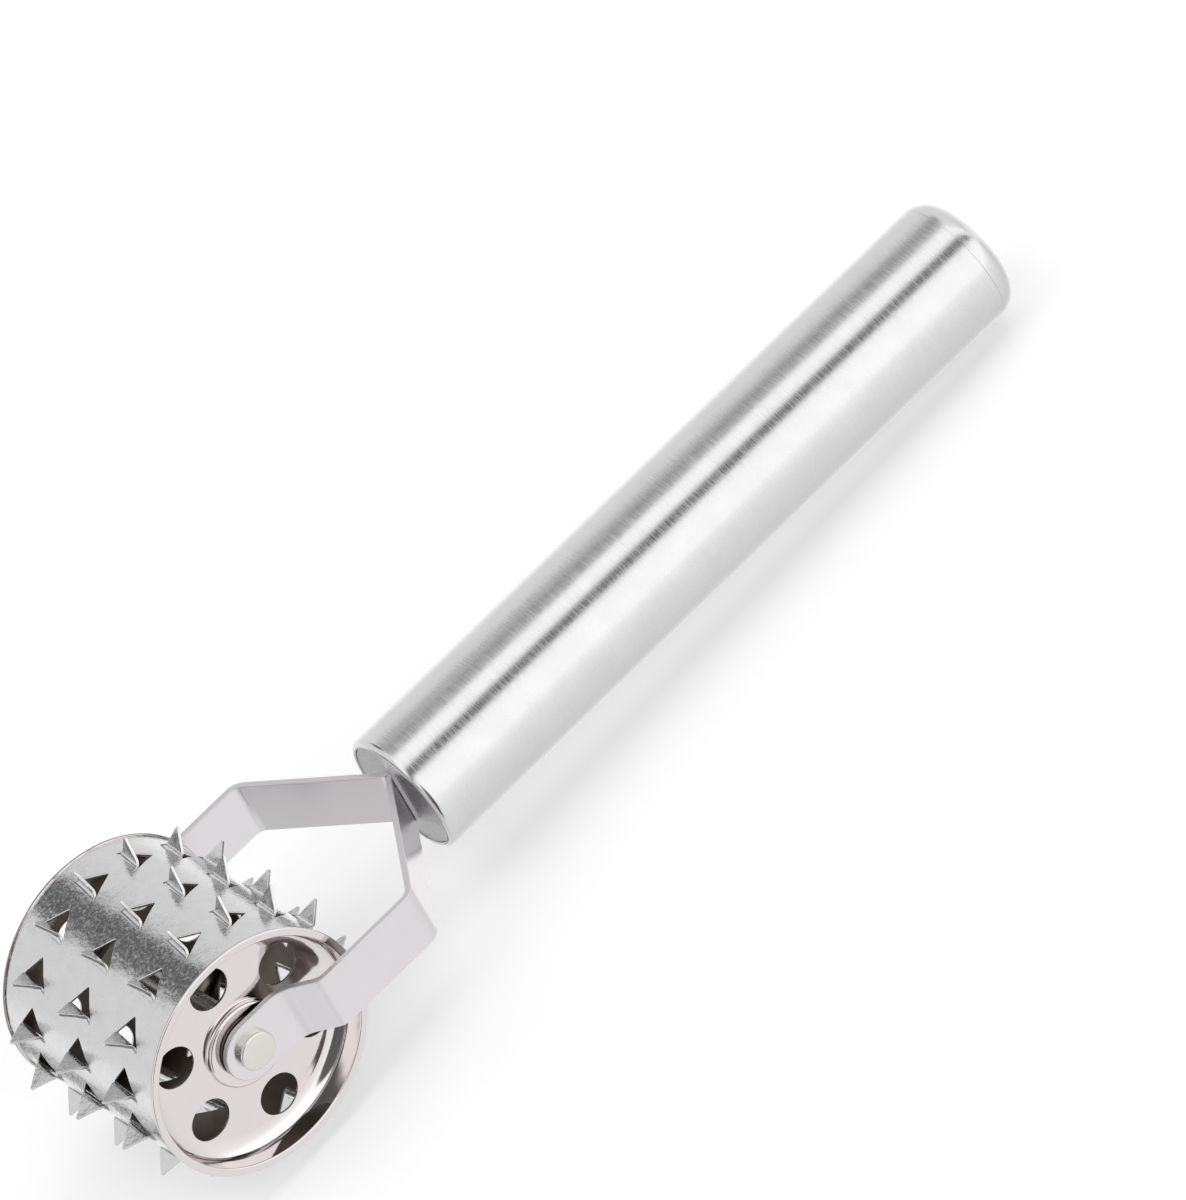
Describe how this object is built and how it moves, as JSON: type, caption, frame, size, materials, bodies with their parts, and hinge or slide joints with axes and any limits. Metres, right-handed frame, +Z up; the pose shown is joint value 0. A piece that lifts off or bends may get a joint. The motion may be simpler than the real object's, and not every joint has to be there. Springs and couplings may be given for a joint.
{
  "type": "rolling meat tenderizer",
  "caption": "Rolling meat tenderizer: a sheet-steel drum with folded-out triangular teeth turns freely on a riveted axle in a bent-strip fork on a straight round handle.",
  "frame": {"origin": "centre of the overall box's bottom face, on the table that the tool lies on", "axes": "+X from the drum towards the rear of the handle, +Y along the axle towards the arm named right, +Z up"},
  "size_m": [0.2267, 0.0518, 0.0553],
  "materials": {
    "drum_steel": "satin rolled stainless sheet with bright cut edges",
    "bright_steel": "polished pressed stainless sheet",
    "strip_steel": "pale satin stainless strip",
    "axle_steel": "smooth pearly satin steel",
    "bush_plastic": "off-white acetal, low sheen",
    "handle_steel": "finely brushed round the tube, bright"
  },
  "bodies": {
    "frame": {"handle_tube": "handle_steel", "handle_front_disc": "handle_steel", "handle_rear_cap": "handle_steel", "fork_arm_left": "strip_steel", "fork_arm_right": "strip_steel", "axle_rivet": "axle_steel", "spacer_sleeve": "axle_steel", "thrust_washer_left": "axle_steel", "thrust_washer_right": "axle_steel"},
    "roller": {"drum_shell": "drum_steel", "end_cap_left": "bright_steel", "end_cap_right": "bright_steel", "hub_bush_left": "bush_plastic", "hub_bush_right": "bush_plastic"}
  },
  "joints": [
    {"name": "roller_spin", "type": "hinge", "parent": "frame", "child": "roller", "pos_m": [-0.08559, 0, 0.02758], "axis": [0, 1, 0], "continuous": true}
  ]
}
